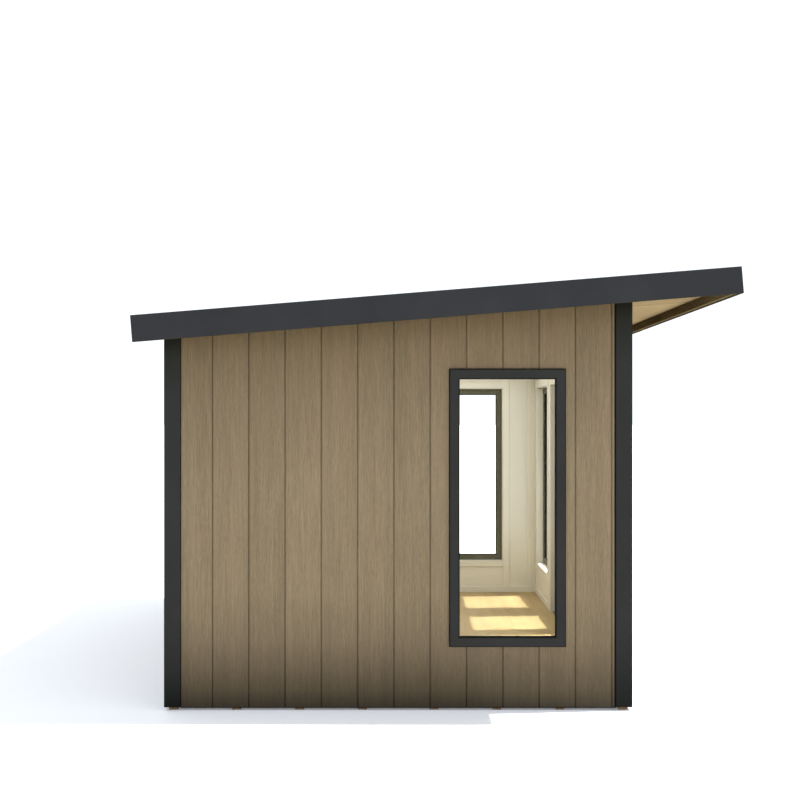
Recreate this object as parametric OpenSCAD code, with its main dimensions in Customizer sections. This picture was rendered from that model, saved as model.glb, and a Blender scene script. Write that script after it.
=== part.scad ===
// Garden office pod: one timber-clad room under a shallow single-pitch roof.
// +Z is up, X runs along the building and its glazed front faces -Y. The origin
// is on the ground, under the middle of the roof.

/* [Body] */
// Length over the corner trims, along X
body_l = 4000; // [3750:50:6000]
// Depth over the corner trims, along Y
body_w = 3000; // [2400:50:4000]
// Height of the fascia's lower edge at the front wall
eaves_h = 2601; // [2500:1:3200]

/* [Walls] */
// Thickness of the upright cladding boards
cladding_t = 18; // [12:1:25]
// Thickness of the insulated wall panels
core_t = 52; // [40:1:150]
// Thickness of the inner lining
lining_t = 12; // [9:1:20]
// Width of each leg of a corner trim
trim_w = 105; // [80:1:140]
// Distance that the corner trims stand proud of the cladding
trim_proud = 8; // [2:1:15]
// Height of the cladding's lower edge above the ground
cladding_up = 22; // [5:1:25]

/* [Floor] */
// Height of the ground bearers
bearer_h = 25; // [25:1:100]
// Width of the ground bearers
bearer_w = 55; // [40:1:100]
// Distance from the outer wall face to the middle of the outermost bearers
bearer_edge = 54; // [54:1:120]
// Distance between the two middle bearers, one under each floor panel
bearer_split = 459; // [200:1:600]
// Thickness of the floor panels
floor_panel_t = 47; // [40:1:150]
// Thickness of the floor boards
floor_board_t = 18; // [14:1:25]

/* [Windows] */
// Width of a window over its frame
window_w = 745; // [500:5:800]
// Height of a window over its frame
window_h = 1780; // [1000:10:1950]
// Height of a window's lower edge above the ground
window_up = 410; // [200:5:500]
// Distance from the front wall face to the side windows
side_window_edge = 428; // [200:1:600]
// Distance from the side wall faces to the front windows
front_window_edge = 225; // [150:1:240]
// Width of the frames' face
frame_face = 66; // [45:1:80]
// Distance that the frames stand proud of the cladding
frame_proud = 20; // [0:1:25]
// Depth of a window frame
frame_d = 45; // [45:1:60]
// Thickness of the glazing
glass_t = 24; // [16:1:28]

/* [Doors] */
// Width of the double door over its frame
door_w = 1702; // [1400:2:1720]
// Width of a door leaf's stiles and top rail
stile_w = 95; // [70:1:120]
// Thickness of a door leaf
leaf_t = 44; // [40:1:50]
// Height of the door glass's lower edge above the ground
door_glass_up = 446; // [350:1:1000]
// Height of the door handles above the floor
handle_up = 1000; // [850:10:1100]

/* [Roof] */
// Fall of the roof towards the rear, in percent
roof_fall = 8; // [4:0.5:10]
// Overhang in front of the front wall
front_over = 655; // [200:5:900]
// Overhang behind the rear wall
rear_over = 158; // [100:1:400]
// Overhang beyond each side wall
side_over = 170; // [100:1:400]
// Height of the fascia
fascia_h = 168; // [160:1:240]
// Thickness of the fascia
fascia_t = 22; // [18:1:30]
// Distance by which the rear fascia's lower edge is above that of the others
rear_fascia_up = 86; // [0:1:100]
// Distance from the fascia's lower edge up to the soffit
soffit_up = 64; // [30:1:70]
// Thickness of the soffit boards
soffit_t = 16; // [12:1:20]
// Thickness of the insulated roof panel
roof_panel_t = 76; // [70:1:150]

/* [Hidden] */
// Sheet and board sizes that follow the materials
membrane_t = 4;
rim_t = 38;
rim_up = 4;
reveal_t = 6;
sill_t = 22;
sill_proud = 30;
// Clearances: sloping faces, boards end to end, glass edges, door leaves, cladding at frames
seat_gap = 0.3;
joint_gap = 1;
glass_gap = 2;
leaf_gap = 4;
frame_gap = 3;
// Glazing rebate, the stop that a door leaf closes on, and the recess of its lower panel
rebate_w = 12;
glass_inset = 10;
stop_w = 15;
stop_d = 26;
kick_in = 8;
kick_rail = 85;
// Door furniture
plate_w = 38;
plate_h = 230;
plate_t = 8;
spindle_r = 9;
spindle_l = 48;
lever_l = 130;
lever_back = 14;
lever_r = 10;
round_fn = 48;
// Margin by which a cut runs past the faces that it opens
cut = 5;

half_l = body_l / 2;
fall = roof_fall / 100;
pitch = atan(fall);
front_y = round(5 * (front_over - body_w - rear_over - fascia_h * sin(pitch))) / 10;
rear_y = front_y + body_w;

// Depths of the wall's layers, measured inwards from the outer face of the corner trims
core_in = trim_proud + cladding_t;
lining_in = core_in + core_t;
room_in = lining_in + lining_t;

// Heights of the floor, and of the heads of the windows and doors
panel_top = bearer_h + floor_panel_t;
floor_top = panel_top + floor_board_t;
sill_top = panel_top + sill_t;
head_z = window_up + window_h;
door_h = head_z - sill_top;

// Depths of the window and door frames, from the same face
frame_out = trim_proud - frame_proud;
frame_in = frame_out + frame_d;
glass_out = frame_out + glass_inset;
leaf_in = frame_out + leaf_t;
door_frame_in = leaf_in + stop_d;

// Door leaves, and the places of the windows
leaf_w = (door_w - 2 * frame_face - 3 * leaf_gap) / 2;
leaf_h = door_h - frame_face - 2 * leaf_gap;
leaf_mid = (leaf_w + leaf_gap) / 2;
leaf_glass_z = door_glass_up - sill_top;
side_window_y = front_y + side_window_edge + window_w / 2;
front_window_x = half_l - front_window_edge - window_w / 2;

// Roof, along the slope from the front wall face and square to it from the fascia's lower edge
roof_x = half_l + side_over;
panel_x = roof_x - fascia_t;
rim_x = panel_x - rim_t;
roof_u0 = -front_over / cos(pitch);
roof_u1 = (body_w + rear_over) / cos(pitch);
skin_w = soffit_up - seat_gap;
under_w = soffit_up + soffit_t;
panel_w = under_w + seat_gap;
membrane_w = panel_w + roof_panel_t;
ceiling_w = under_w - lining_t;
lining_w = ceiling_w - seat_gap;
panel_u0 = roof_u0 + fascia_t + seat_gap;
panel_u1 = roof_u1 - fascia_t - seat_gap;

dark_metal = "#3d3f40";
boards = "#8f7e66";
cream = "#d8d0b8";
panel_wood = "#b79f72";
pale_wood = "#c8b284";
brown_wood = "#5a4733";

// Height at y of the plane that lies w above the fascia's lower edge
function plane_z(y, w) = eaves_h - (y - front_y) * fall + w / cos(pitch);

// Point [y, z] that lies u down the slope from the front wall face and w square to it
function roof_point(u, w) = [
    front_y + u * cos(pitch) + w * sin(pitch),
    eaves_h - u * sin(pitch) + w * cos(pitch)
];

// A cross-section in Y and Z, drawn out along X
module along_x(x0, x1, points) {
    translate([x0, 0, 0]) rotate([90, 0, 90]) linear_extrude(x1 - x0) polygon(points);
}

// Upright slab from z0 to the plane w
module wall_slab(x0, x1, y0, y1, z0, w) {
    along_x(x0, x1, [[y0, z0], [y1, z0], [y1, plane_z(y1, w)], [y0, plane_z(y0, w)]]);
}

// Sloping slab with upright ends, between the planes w0 and w1
module ceiling_slab(x0, x1, y0, y1, w0, w1) {
    ends = [[y0, w0], [y1, w0], [y1, w1], [y0, w1]];
    along_x(x0, x1, [for (e = ends) [e[0], plane_z(e[0], e[1])]]);
}

// Sloping slab with ends square to the slope
module roof_slab(x0, x1, u0, u1, w0, w1) {
    corners = [[u0, w0], [u1, w0], [u1, w1], [u0, w1]];
    along_x(x0, x1, [for (c = corners) roof_point(c[0], c[1])]);
}

// Block centred on X, between two depths into the wall and two heights
module block(width, d0, d1, z0, z1) {
    translate([-width / 2, d0, z0]) cube([width, d1 - d0, z1 - z0]);
}

// Frames of reference of the openings: X along the wall, Y into it, Z up
module at_right_window() {
    translate([half_l, side_window_y, window_up]) rotate([0, 0, 90]) children();
}
module at_front_window(side) {
    translate([side * front_window_x, front_y, window_up]) children();
}
module at_door() {
    translate([0, front_y, sill_top]) children();
}
module on_left() {
    mirror([1, 0, 0]) children();
}

module window_hole(gap) {
    block(window_w + 2 * gap, -cut, room_in + cut, -gap, window_h + gap);
}

module window_frame() {
    color(dark_metal) difference() {
        block(window_w, frame_out, frame_in, 0, window_h);
        block(window_w - 2 * frame_face, frame_out - cut, frame_in + cut, frame_face, window_h - frame_face);
        block(window_w - 2 * frame_face + 2 * rebate_w, glass_out, glass_out + glass_t,
            frame_face - rebate_w, window_h - frame_face + rebate_w);
    }
}

module window_glass() {
    edge = frame_face - rebate_w + glass_gap;
    color("lightblue", 0.5) block(window_w - 2 * edge, glass_out, glass_out + glass_t, edge, window_h - edge);
}

module window_reveal() {
    color(cream) difference() {
        block(window_w, frame_in, room_in, 0, window_h);
        block(window_w - 2 * reveal_t, frame_in - cut, room_in + cut, reveal_t, window_h - reveal_t);
    }
}

// Right-hand side wall, layer by layer
module side_layer(d0, d1, end_in, z0, w, gap) {
    difference() {
        wall_slab(half_l - d1, half_l - d0, front_y + end_in, rear_y - end_in, z0, w);
        at_right_window() window_hole(gap);
    }
}
module right_wall() {
    color(panel_wood) side_layer(core_in, lining_in, core_in, panel_top, under_w, 0);
}
module right_cladding() {
    color(boards) side_layer(trim_proud, core_in, trim_w, cladding_up, skin_w, frame_gap);
}
module right_lining() {
    color(cream) side_layer(lining_in, room_in, lining_in, floor_top, lining_w, 0);
}

// Rear wall, plain
module rear_layer(d0, d1, end_in, z0, w) {
    wall_slab(-half_l + end_in, half_l - end_in, rear_y - d1, rear_y - d0, z0, w);
}
module rear_wall() {
    color(panel_wood) rear_layer(core_in, lining_in, lining_in, panel_top, under_w);
}
module rear_cladding() {
    color(boards) rear_layer(trim_proud, core_in, trim_w, cladding_up, skin_w);
}
module rear_lining() {
    color(cream) rear_layer(lining_in, room_in, room_in, floor_top, lining_w);
}

// Front wall, with a window each side of the double door
module front_layer(d0, d1, end_in, z0, w, gap) {
    difference() {
        wall_slab(-half_l + end_in, half_l - end_in, front_y + d0, front_y + d1, z0, w);
        for (side = [-1, 1]) at_front_window(side) window_hole(gap);
        translate([0, front_y, 0]) block(door_w + 2 * gap, -cut, room_in + cut, panel_top, head_z + gap);
    }
}
module front_wall() {
    color(panel_wood) front_layer(core_in, lining_in, lining_in, panel_top, under_w, 0);
}
module front_cladding() {
    color(boards) front_layer(trim_proud, core_in, trim_w, cladding_up, skin_w, frame_gap);
}
module front_lining() {
    color(cream) front_layer(lining_in, room_in, room_in, floor_top, lining_w, 0);
}

// L-shaped trims that cover the ends of the cladding
module corner_trim(y_face, inward) {
    y_leg = y_face + inward * trim_w;
    y_skin = y_face + inward * core_in;
    color(dark_metal) union() {
        wall_slab(half_l - core_in, half_l, min(y_face, y_leg), max(y_face, y_leg), cladding_up, skin_w);
        wall_slab(half_l - trim_w, half_l - core_in / 2, min(y_face, y_skin), max(y_face, y_skin),
            cladding_up, skin_w);
    }
}
module front_right_corner_trim() {
    corner_trim(front_y, 1);
}
module rear_right_corner_trim() {
    corner_trim(rear_y, -1);
}

// Bearers on the ground, four under each floor panel
module ground_bearers() {
    mid_y = front_y + body_w / 2;
    outer = body_w / 2 - bearer_edge;
    step = (outer - bearer_split / 2) / 3;
    color(brown_wood) for (side = [-1, 1], i = [0:3])
        translate([-half_l + core_in, mid_y + side * (outer - i * step) - bearer_w / 2, 0])
            cube([body_l - 2 * core_in, bearer_w, bearer_h]);
}

module floor_panels() {
    depth = body_w / 2 - core_in - joint_gap / 2;
    color(panel_wood) for (y = [front_y + core_in, rear_y - core_in - depth])
        translate([-half_l + core_in, y, bearer_h]) cube([body_l - 2 * core_in, depth, floor_panel_t]);
}

module floor_boards() {
    color(pale_wood) translate([-half_l + lining_in, front_y + lining_in, panel_top])
        cube([body_l - 2 * lining_in, body_w - 2 * lining_in, floor_board_t]);
}

// Double door
module door_sill() {
    color("silver") translate([0, front_y, 0]) block(door_w, -sill_proud, lining_in, panel_top, sill_top);
}

module door_frame() {
    stop = frame_face + stop_w;
    color(dark_metal) difference() {
        block(door_w, frame_out, door_frame_in, 0, door_h);
        block(door_w - 2 * frame_face, frame_out - cut, leaf_in, -cut, door_h - frame_face);
        block(door_w - 2 * stop, leaf_in - cut, door_frame_in + cut, -cut, door_h - stop);
    }
}

module door_reveal() {
    color(cream) difference() {
        block(door_w, door_frame_in, room_in, 0, door_h);
        block(door_w - 2 * reveal_t, door_frame_in - cut, room_in + cut, -cut, door_h - reveal_t);
    }
}

// Leaf centred on X, with its lower edge at zero
module door_leaf() {
    glass_w = leaf_w - 2 * stile_w;
    glass_z0 = leaf_glass_z - leaf_gap;
    glass_z1 = leaf_h - stile_w;
    color(dark_metal) difference() {
        block(leaf_w, frame_out, leaf_in, 0, leaf_h);
        block(glass_w, frame_out - cut, leaf_in + cut, glass_z0, glass_z1);
        block(glass_w + 2 * rebate_w, glass_out, glass_out + glass_t,
            glass_z0 - rebate_w, glass_z1 + rebate_w);
        block(glass_w, frame_out - cut, frame_out + kick_in, stile_w, glass_z0 - kick_rail);
    }
}

module door_glass() {
    side = stile_w - rebate_w + glass_gap;
    bottom = leaf_glass_z - leaf_gap - rebate_w + glass_gap;
    color("lightblue", 0.5) block(leaf_w - 2 * side, glass_out, glass_out + glass_t, bottom, leaf_h - side);
}

// Lever handle on a long plate, on both faces of a leaf; the lever points away from the closing stile
module door_handle() {
    z = handle_up + floor_top - sill_top - leaf_gap;
    x = (stile_w - leaf_w) / 2;
    faces = [[frame_out, -1], [leaf_in, 1]];
    color("silver") for (f = faces) translate([x, f[0], z]) {
        translate([-plate_w / 2, f[1] > 0 ? 0 : -plate_t, -plate_h / 2]) cube([plate_w, plate_t, plate_h]);
        rotate([-90 * f[1], 0, 0]) cylinder(r = spindle_r, h = spindle_l, $fn = round_fn);
        translate([-lever_back, f[1] * spindle_l, 0]) rotate([0, 90, 0])
            cylinder(r = lever_r, h = lever_l, $fn = round_fn);
    }
}

module at_right_leaf() {
    at_door() translate([leaf_mid, 0, leaf_gap]) children();
}

// Undersides of the roof: soffits outside the walls, the ceiling inside them
module end_soffit(u, y) {
    color(pale_wood) along_x(-rim_x, rim_x, [
        roof_point(u, soffit_up), [y, plane_z(y, soffit_up)],
        [y, plane_z(y, under_w)], roof_point(u, under_w)
    ]);
}
module front_soffit() {
    end_soffit(panel_u0 + rim_t + seat_gap, front_y + core_in);
}
module rear_soffit() {
    end_soffit(panel_u1 - rim_t - seat_gap, rear_y - core_in);
}
module side_soffits() {
    color(pale_wood) for (left = [0, 1]) mirror([left, 0, 0])
        ceiling_slab(half_l - core_in, rim_x, front_y + core_in, rear_y - core_in, soffit_up, under_w);
}
module ceiling() {
    color(cream) ceiling_slab(-half_l + lining_in, half_l - lining_in,
        front_y + lining_in, rear_y - lining_in, ceiling_w, under_w);
}

// Roof: timber rim under the panel's front and side edges, panel, membrane, and fascia all round
module rim_boards() {
    color(brown_wood) {
        for (left = [0, 1]) mirror([left, 0, 0])
            roof_slab(rim_x, panel_x, panel_u0, panel_u1, rim_up, under_w);
        roof_slab(-rim_x + joint_gap / 2, rim_x - joint_gap / 2, panel_u0, panel_u0 + rim_t, rim_up, under_w);
    }
}
module roof_panel() {
    color(panel_wood) roof_slab(-panel_x, panel_x, panel_u0, panel_u1, panel_w, membrane_w);
}
module roof_membrane() {
    color("dimgray") roof_slab(-panel_x, panel_x, panel_u0, panel_u1, membrane_w, membrane_w + membrane_t);
}
module right_fascia() {
    color(dark_metal) roof_slab(panel_x, roof_x, roof_u0, roof_u1, 0, fascia_h);
}
module cross_fascia(u, up) {
    color(dark_metal) roof_slab(-panel_x, panel_x, u, u + fascia_t, up, fascia_h);
}

ground_bearers();
floor_panels();
floor_boards();
on_left() right_wall();  // left_wall
on_left() right_cladding();  // left_cladding
on_left() right_lining();  // left_lining
right_wall();
right_cladding();
right_lining();
rear_wall();
rear_cladding();
rear_lining();
front_wall();
front_cladding();
front_lining();
on_left() front_right_corner_trim();  // front_left_corner_trim
front_right_corner_trim();
on_left() rear_right_corner_trim();  // rear_left_corner_trim
rear_right_corner_trim();
on_left() at_right_window() window_frame();  // left_window_frame
on_left() at_right_window() window_glass();  // left_window_glass
on_left() at_right_window() window_reveal();  // left_window_reveal
at_right_window() window_frame();  // right_window_frame
at_right_window() window_glass();  // right_window_glass
at_right_window() window_reveal();  // right_window_reveal
at_front_window(-1) window_frame();  // front_left_window_frame
at_front_window(-1) window_glass();  // front_left_window_glass
at_front_window(-1) window_reveal();  // front_left_window_reveal
at_front_window(1) window_frame();  // front_right_window_frame
at_front_window(1) window_glass();  // front_right_window_glass
at_front_window(1) window_reveal();  // front_right_window_reveal
door_sill();
at_door() door_frame();
at_door() door_reveal();
on_left() at_right_leaf() door_leaf();  // left_door_leaf
on_left() at_right_leaf() door_glass();  // left_door_glass
on_left() at_right_leaf() door_handle();  // left_door_handle
at_right_leaf() door_leaf();  // right_door_leaf
at_right_leaf() door_glass();  // right_door_glass
at_right_leaf() door_handle();  // right_door_handle
front_soffit();
rear_soffit();
side_soffits();
ceiling();
rim_boards();
roof_panel();
roof_membrane();
cross_fascia(roof_u0, 0);  // front_fascia
cross_fascia(roof_u1 - fascia_t, rear_fascia_up);  // rear_fascia
on_left() right_fascia();  // left_fascia
right_fascia();
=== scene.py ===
"""Looks of the garden office pod: boards, frames, glass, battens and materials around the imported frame."""
import math
import random

import bmesh
import bpy
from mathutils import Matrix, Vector


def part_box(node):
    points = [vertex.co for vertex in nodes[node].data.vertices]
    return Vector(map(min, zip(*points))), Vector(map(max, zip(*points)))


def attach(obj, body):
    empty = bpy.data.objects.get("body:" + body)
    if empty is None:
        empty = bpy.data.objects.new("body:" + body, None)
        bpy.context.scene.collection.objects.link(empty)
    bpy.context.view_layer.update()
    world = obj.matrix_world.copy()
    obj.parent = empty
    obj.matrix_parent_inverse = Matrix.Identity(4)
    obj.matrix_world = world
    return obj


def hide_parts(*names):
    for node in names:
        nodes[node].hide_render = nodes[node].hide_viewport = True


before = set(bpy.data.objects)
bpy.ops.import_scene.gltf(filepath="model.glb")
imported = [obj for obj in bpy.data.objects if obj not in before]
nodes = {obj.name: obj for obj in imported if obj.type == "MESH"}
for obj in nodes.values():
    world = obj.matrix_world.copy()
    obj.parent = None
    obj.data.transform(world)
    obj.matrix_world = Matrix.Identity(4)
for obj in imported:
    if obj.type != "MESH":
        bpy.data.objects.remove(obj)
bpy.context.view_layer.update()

rng = random.Random(11)

# ---------------------------------------------------------------- sizes, in metres
BOARD_PITCH = 0.2326      # cladding boards, joint to joint
FIRST_JOINT = 0.205       # from the rear end of a side wall's cladding to its first joint
BOARD_GAP = 0.007         # open width of a cladding joint
BOARD_CHAMFER = 0.003     # on the long edges of a cladding board
TONGUE_IN = 0.009         # depth at which the tongue closes a joint
TONGUE_GAP = 0.0005       # between a tongue and the next board
SHADE_STRIP_IN = 0.006           # depth at which a dark strip closes the gap beside a trim, painted shade in place of the shadow line there
SHADE_STRIP_CLEAR = 0.0002       # between that strip and its neighbours
BACK_CLEAR = 0.0005       # between that strip and the wall
CHIP = 0.004              # a board narrower than this isn't made
HOLE_GAP = 0.003          # between cladding and window frame
CUT_PAST = 0.05           # how far a cut runs on past both faces of a wall
FOOT_H = 0.006            # painted shade: dark strip under the cladding, in place of the shadow in the gap there
SHEET_STRIPS = 4          # strips of roof sheet, and the laps between them
LAP_W = 0.05
LAP_RISE = 0.0022
LAP_EASE = 0.002
SOFFIT_PITCH = 0.19
SOFFIT_CHAMFER = 0.003
SOFFIT_JOINT = 0.0006     # half the open joint between soffit boards
VENT_T = 0.003            # slotted strip behind the rear soffit: thickness, edge rail, slats
VENT_RAIL = 0.006
SLAT_PITCH = 0.024
SLAT_W = 0.012
FLOOR_PITCH = 0.14
FLOOR_JOINT = 0.0001      # half the joint between floor boards
FLOOR_CHAMFER = 0.0005
BATTEN_T = 0.010          # cover battens stand this far off the lining
BATTEN_W = 0.067
SILL_BATTEN_W = 0.056
CORNER_BATTEN_W = 0.077
SKIRTING_H = 0.059
BATTEN_FIT = 0.0006       # between battens that meet
EASE = 0.0015             # small rounding on cut edges
FRAME_FACE = 0.066
FRAME_SHADE_LINE = 0.0055       # painted shade: black strip round the outside of a window frame, in place of the shadow line there
FRAME_STEP = 0.017        # depth of the step that holds that strip
FACING_T = 0.002          # facing on the room side of a window frame; its lighter, warmer colour is painted room light
WRAP_T = 0.0012           # the same facing where it turns in towards the pane
LIP_GAP = 0.005           # between a pane and the lips of its frame
PANE_T = 0.004            # each of the two sheets of glass in a pane
GASKET_W = 0.006          # visible width of the gasket that holds a pane
GASKET_LIP = 0.005        # depth at which a window's outer gasket starts
SKIN_T = 0.001            # folded metal of the fascias
SKIN_FOLD = 0.0015        # chamfer along its folds
TRIM_GAP = 0.008          # between the cut board of a side wall and the front corner trim
TRIM_FIT = 0.002          # between the other end boards and the corner trims
DOOR_STILE = 0.095
PLATE_T = 0.008           # plate of a door handle
HINGE_IN = 0.2            # from the top and bottom of a leaf to its hinges
KNUCKLE_R = 0.007
KNUCKLE_L = 0.032
KNUCKLE_PITCH = 0.034
LOCK_DOWN = 0.065         # from the middle of the handle's plate to the lock
SCREW_IN = 0.014          # from the ends of the plate to its screws
CAMERA_BACK = 6.401       # camera to the side wall's outer face
CAMERA_UP = 1.859
CAMERA_ASIDE = -0.0115    # from the middle of the side wall, towards the front
LENS = 45.0
SENSOR = 36.0             # lens and sensor in millimetres
SHIFT_Y = 0.0256
SUN_TRAVEL = Vector((-0.08, 1.0, -1.69))
SUN_POWER, SUN_DEGREES = 7.0, 0.6
SKY_POWER = 1.25
ROOM_POWER = 46.0         # of the soft light under the ceiling, in watts
ROOM_LIGHT_IN = 0.2       # from its edges to the walls
ROOM_LIGHT_DOWN = 0.05
STUDIO_HALF = 400.0       # half the width of the studio's floor

# material slots of the record that several pieces take
METAL, TIMBER, LINING, FITTINGS = "dark_metal", "rim_timber", "painted_lining", "handle_steel"


# ---------------------------------------------------------------- the roof's slope, read from the frame
corners = [(v.co.y, v.co.z) for v in nodes["left_fascia"].data.vertices]
front_low = min(corners)
rear_low = min(corners, key=lambda c: c[1])
pitch_angle = math.atan2(front_low[1] - rear_low[1], rear_low[0] - front_low[0])
FALL = math.tan(pitch_angle)
COS, SIN = math.cos(pitch_angle), math.sin(pitch_angle)
EAVES_LINE = front_low[1] + front_low[0] * FALL   # z + y * FALL along the fascia's lower edge


def on_roof(x, u, w):
    """World point for a place on the roof: u down the slope from the front edge, w square to it."""
    return (x, front_low[0] + u * COS + w * SIN, front_low[1] - u * SIN + w * COS)


def down_slope(shape, ring, u0, u1, tone=0.5):
    """A solid that runs down the slope. ring lists its (x, w)."""
    shape.prism([on_roof(x, u0, w) for x, w in ring], [on_roof(x, u1, w) for x, w in ring], tone)


def across_slope(shape, ring, x0, x1, tone=0.5):
    """A solid that runs along the building. ring lists its (u, w)."""
    shape.prism([on_roof(x0, u, w) for u, w in ring], [on_roof(x1, u, w) for u, w in ring], tone)


def slope_box(node):
    """Lowest and highest u and w of a CAD node."""
    us, ws = [], []
    for v in nodes[node].data.vertices:
        dy, dz = v.co.y - front_low[0], v.co.z - front_low[1]
        us.append(dy * COS - dz * SIN)
        ws.append(dy * SIN + dz * COS)
    return min(us), max(us), min(ws), max(ws)


# ---------------------------------------------------------------- materials
def material(name, **values):
    mat = bpy.data.materials.new(name)
    mat.use_nodes = True
    bsdf = mat.node_tree.nodes["Principled BSDF"]
    for key, value in values.items():
        bsdf.inputs[key.replace("_", " ")].default_value = value
    return mat, mat.node_tree, bsdf


def add(tree, kind, settings=None, **inputs):
    """A shader node with its settings and inputs.

    An input goes by its name, or by its number, as in i0. It takes a value or another node's output.
    """
    n = tree.nodes.new(kind)
    for key, value in (settings or {}).items():
        setattr(n, key, value)
    for key, value in inputs.items():
        by_number = key[0] == "i" and key[1:].isdigit()
        socket = n.inputs[int(key[1:]) if by_number else key.replace("_", " ")]
        if isinstance(value, bpy.types.NodeSocket):
            tree.links.new(value, socket)
        else:
            socket.default_value = value
    return n


def coords(tree, scale, spread=(0, 0, 0)):
    """Object coordinates, scaled, and shifted for each board by its own tone."""
    place = add(tree, "ShaderNodeTexCoord").outputs["Object"]
    tone = add(tree, "ShaderNodeAttribute", {"attribute_name": "tone"}).outputs["Fac"]
    shift = add(tree, "ShaderNodeVectorMath", {"operation": "SCALE"}, i0=spread, Scale=tone).outputs[0]
    moved = add(tree, "ShaderNodeVectorMath", {"operation": "ADD"}, i0=place, i1=shift).outputs[0]
    scaled = add(tree, "ShaderNodeVectorMath", {"operation": "MULTIPLY"}, i0=moved, i1=scale).outputs[0]
    return scaled, tone


def noise(tree, vector, scale=1.0, detail=4.0, rough=0.6):
    n = add(tree, "ShaderNodeTexNoise", Vector=vector, Scale=scale, Detail=detail, Roughness=rough)
    return n.outputs["Fac"]


def ramp(tree, fac, stops):
    n = add(tree, "ShaderNodeValToRGB", Fac=fac)
    band = n.color_ramp.elements
    while len(band) < len(stops):
        band.new(0.5)
    for e, (at, colour) in zip(band, stops):
        e.position = at
        e.color = (*colour, 1.0)
    return n.outputs["Color"]


def mix(tree, fac, a, b, how="MIX"):
    n = add(tree, "ShaderNodeMix", {"data_type": "RGBA", "blend_type": how}, i0=fac, i6=a, i7=b)
    return n.outputs[2]


def grey(value):
    return (value, value, value, 1.0)


def grey3(value):
    return (value, value, value)


def sums(tree, operation, **inputs):
    return add(tree, "ShaderNodeMath", {"operation": operation}, **inputs).outputs[0]


def span(tree, value, lo, hi):
    return add(tree, "ShaderNodeMapRange", Value=value, To_Min=lo, To_Max=hi).outputs[0]


def bump(tree, bsdf, height, strength, distance=0.002):
    n = add(tree, "ShaderNodeBump", Strength=strength, Distance=distance, Height=height)
    tree.links.new(n.outputs["Normal"], bsdf.inputs["Normal"])


def paint_shade_by_height(tree, colour, low, high):
    """Painted shade by height: darkens a colour near the ground and in the strip under the roof, where shade
    falls.
    """
    place = add(tree, "ShaderNodeTexCoord").outputs["Object"]
    axes = add(tree, "ShaderNodeSeparateXYZ", i0=place)
    colour = mix(tree, 1.0, colour, ramp(tree, axes.outputs[2], low), "MULTIPLY")
    rise = sums(tree, "MULTIPLY_ADD", i0=axes.outputs[1], i1=FALL, i2=axes.outputs[2])
    below = sums(tree, "SUBTRACT", i0=EAVES_LINE, i1=rise)
    return mix(tree, 1.0, colour, ramp(tree, below, high), "MULTIPLY")


def wood(name, dark, mid, light, axis, across=95.0, along=2.2, rough=0.6, relief=0.35,
         variety=0.2, fine=0.17, gloss=0.25, painted_shade=None):
    """Sawn or planed timber with its grain along one axis (0, 1 or 2).

    across and along are the grain's frequencies, variety the spread between boards, and fine the contrast
    of its fibres.
    """
    mat, tree, bsdf = material(name, Roughness=rough, Specular_IOR_Level=gloss)
    stretch = [across] * 3
    stretch[axis] = along
    spread = [3.7, 5.3, 4.1]
    grain_at, tone = coords(tree, stretch, spread)
    fibre_at, _ = coords(tree, [s * 5 for s in stretch], spread)
    broad_at, _ = coords(tree, [s * 0.12 for s in stretch], spread)
    grain = noise(tree, grain_at, 1.0, 5.0, 0.62)
    fibre = noise(tree, fibre_at, 1.0, 2.0, 0.5)
    broad = noise(tree, broad_at, 1.0, 3.0, 0.5)
    colour = ramp(tree, grain, [(0.28, dark), (0.5, mid), (0.74, light)])
    hairs = ramp(tree, fibre, [(0.35, (1 - fine,) * 3), (0.65, (1 + fine,) * 3)])
    colour = mix(tree, 1.0, colour, hairs, "MULTIPLY")
    patch = ramp(tree, broad, [(0.3, (0.90, 0.90, 0.88)), (0.7, (1.08, 1.07, 1.07))])
    colour = mix(tree, 1.0, colour, patch, "MULTIPLY")
    shade = span(tree, tone, 1 - variety / 2, 1 + variety / 2)
    shade_rgb = add(tree, "ShaderNodeCombineColor", Red=shade, Green=shade, Blue=shade).outputs[0]
    colour = mix(tree, 1.0, colour, shade_rgb, "MULTIPLY")
    # painted shade by height, darker near the ground and under the roof
    if painted_shade:
        colour = paint_shade_by_height(tree, colour, *painted_shade)
    tree.links.new(colour, bsdf.inputs["Base Color"])
    tree.links.new(span(tree, grain, rough - 0.1, rough + 0.12), bsdf.inputs["Roughness"])
    bump(tree, bsdf, sums(tree, "ADD", i0=grain, i1=fibre), relief, 0.0015)
    return mat


def coated_metal(name, colour, rough=0.5, painted_shade=None):
    """Powder-coated metal: fine orange peel, faint dust and rubbed patches."""
    mat, tree, bsdf = material(name, Specular_IOR_Level=0.1)
    at, _ = coords(tree, (1, 1, 1), (2.3, 1.9, 3.1))
    peel = noise(tree, at, 420.0, 2.0)
    cloud = noise(tree, at, 2.6, 4.0)
    low = tuple(c * 0.88 for c in colour)
    high = tuple(c * 1.16 for c in colour)
    shade = ramp(tree, cloud, [(0.3, low), (0.7, high)])
    # painted shade by height, darker near the ground and under the roof
    if painted_shade:
        shade = paint_shade_by_height(tree, shade, *painted_shade)
    tree.links.new(shade, bsdf.inputs["Base Color"])
    tree.links.new(span(tree, cloud, rough - 0.07, rough + 0.1), bsdf.inputs["Roughness"])
    bump(tree, bsdf, peel, 0.12, 0.0006)
    return mat


def painted(name, colour):
    """Smooth painted board with faint roller marks."""
    mat, tree, bsdf = material(name)
    at, _ = coords(tree, (1, 1, 1), (2.3, 1.9, 3.1))
    roller = noise(tree, at, 240.0, 3.0)
    cloud = noise(tree, at, 1.7, 4.0)
    low = tuple(c * 0.955 for c in colour)
    tree.links.new(ramp(tree, cloud, [(0.3, low), (0.72, colour)]), bsdf.inputs["Base Color"])
    tree.links.new(span(tree, roller, 0.5, 0.66), bsdf.inputs["Roughness"])
    bump(tree, bsdf, roller, 0.1, 0.0008)
    return mat


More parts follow.
